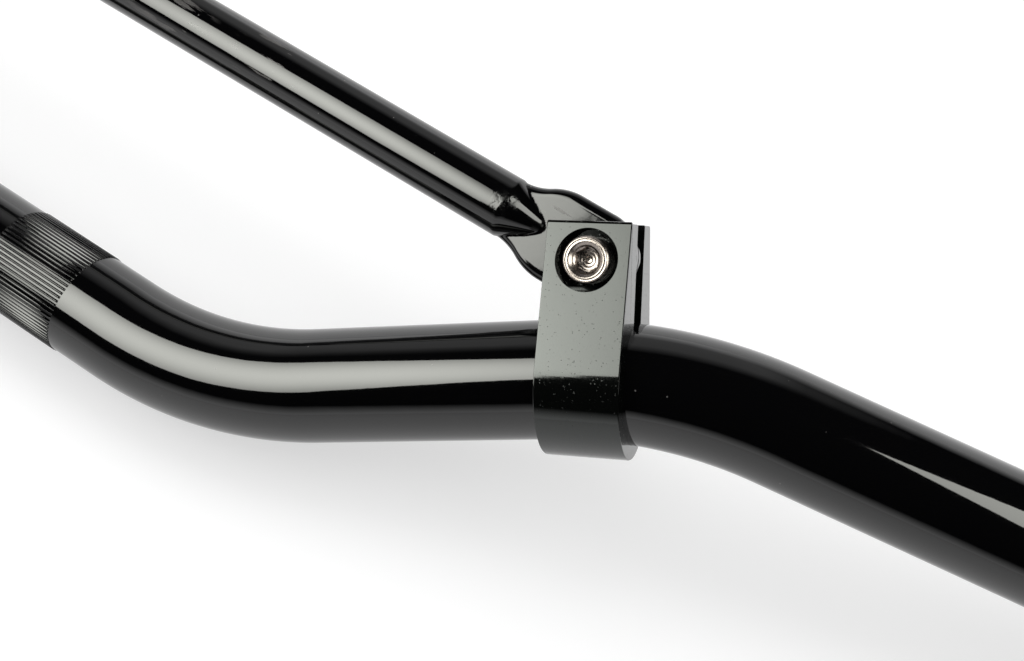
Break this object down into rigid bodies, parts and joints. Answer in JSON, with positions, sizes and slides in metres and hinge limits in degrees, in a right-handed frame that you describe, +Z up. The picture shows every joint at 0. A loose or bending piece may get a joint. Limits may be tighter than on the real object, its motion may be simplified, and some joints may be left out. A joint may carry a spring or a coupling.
{
  "type": "motocross handlebar",
  "caption": "Motocross handlebar: a bent steel tube with knurled clamping bands and a cross brace whose pressed flat ends are bolted into slotted ring clamps",
  "frame": {"origin": "the middle of the clamp zone, on the tube's axis", "axes": "+X along the bar to the rider's left, +Y to the rear, to the rider, +Z up"},
  "size_m": [0.739, 0.0657, 0.0905],
  "materials": {
    "bar_paint": "gloss black paint",
    "clamp_coat": "gloss black coat, lightly pitted",
    "screw_steel": "bright plated"
  },
  "bodies": {
    "root": {"bar": "bar_paint", "brace": "bar_paint", "clamp_left": "clamp_coat", "clamp_right": "clamp_coat", "screw_left": "screw_steel", "screw_right": "screw_steel"}
  },
  "joints": []
}
